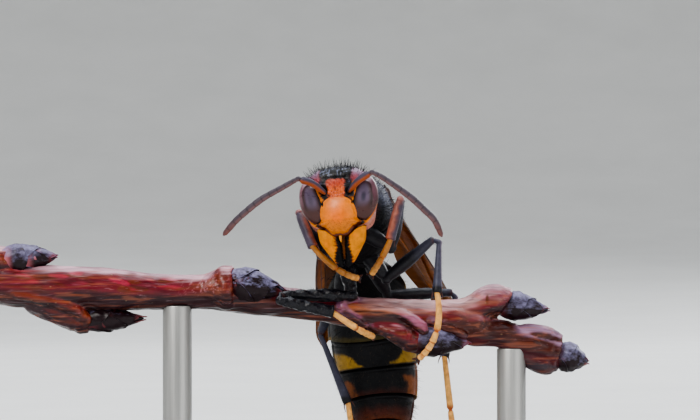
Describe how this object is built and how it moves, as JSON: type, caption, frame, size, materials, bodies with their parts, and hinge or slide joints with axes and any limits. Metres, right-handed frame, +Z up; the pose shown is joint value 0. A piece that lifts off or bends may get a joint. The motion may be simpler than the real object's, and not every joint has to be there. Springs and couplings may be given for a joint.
{
  "type": "asian hornet on a twig, display model",
  "caption": "Life-size still hornet gripping a short budding twig, with folded wings and bent legs, held by two rods on a flat base.",
  "frame": {"origin": "middle of the stand's underside, on the floor", "axes": "+Z up, -Y the way the hornet faces, +X to the hornet's left along the twig"},
  "size_m": [0.04, 0.024, 0.0246],
  "materials": {
    "chitin_black": "blue-black chitin, satin, finely pitted and downy",
    "chitin_orange": "orange chitin, satin",
    "chitin_yellow": "yellow chitin, satin",
    "chitin_brown": "brown chitin, satin",
    "eye_brown": "dark brown facetted eye, glossy",
    "wing_amber": "amber wing membrane with brown veins",
    "bark_red": "red young bark, satin with a grey bloom",
    "bud_violet": "dark bud scales with a grey bloom",
    "stand_grey": "matt light grey"
  },
  "bodies": {
    "root": {"abdomen_1": "chitin_black", "abdomen_2": "chitin_black", "abdomen_3": "chitin_black", "abdomen_4": "chitin_orange", "abdomen_5": "chitin_brown", "abdomen_6": "chitin_brown", "antenna_left_flagellum": "chitin_brown", "antenna_left_scape": "chitin_orange", "antenna_right_flagellum": "chitin_brown", "antenna_right_scape": "chitin_orange", "bud_end_left": "bud_violet", "bud_far_right": "bud_violet", "bud_low_left": "bud_violet", "bud_low_right": "bud_violet", "bud_middle": "bud_violet", "bud_upper_left": "bud_violet", "clypeus": "chitin_orange", "eye_left": "eye_brown", "eye_right": "eye_brown", "forewing_left": "wing_amber", "forewing_right": "wing_amber", "head": "chitin_black", "hindwing_left": "wing_amber", "hindwing_right": "wing_amber", "leg_fore_left_femur": "chitin_black", "leg_fore_left_tarsus": "chitin_yellow", "leg_fore_left_tibia": "chitin_orange", "leg_fore_right_femur": "chitin_black", "leg_fore_right_tarsus": "chitin_yellow", "leg_fore_right_tibia": "chitin_orange", "leg_hind_left_femur": "chitin_black", "leg_hind_left_tarsus": "chitin_yellow", "leg_hind_left_tibia": "chitin_black", "leg_hind_right_femur": "chitin_black", "leg_hind_right_tarsus": "chitin_yellow", "leg_hind_right_tibia": "chitin_black", "leg_mid_left_femur": "chitin_black", "leg_mid_left_tarsus": "chitin_yellow", "leg_mid_left_tibia": "chitin_black", "leg_mid_right_femur": "chitin_black", "leg_mid_right_tarsus": "chitin_yellow", "leg_mid_right_tibia": "chitin_black", "mandible_left": "chitin_orange", "mandible_right": "chitin_orange", "mesothorax": "chitin_black", "petiole": "chitin_black", "pronotum": "chitin_black", "propodeum": "chitin_black", "stand_base": "stand_grey", "stand_rod_left": "stand_grey", "stand_rod_right": "stand_grey", "twig": "bark_red", "twig_lower_shoot": "bark_red", "twig_upper_shoot": "bark_red"}
  },
  "joints": []
}
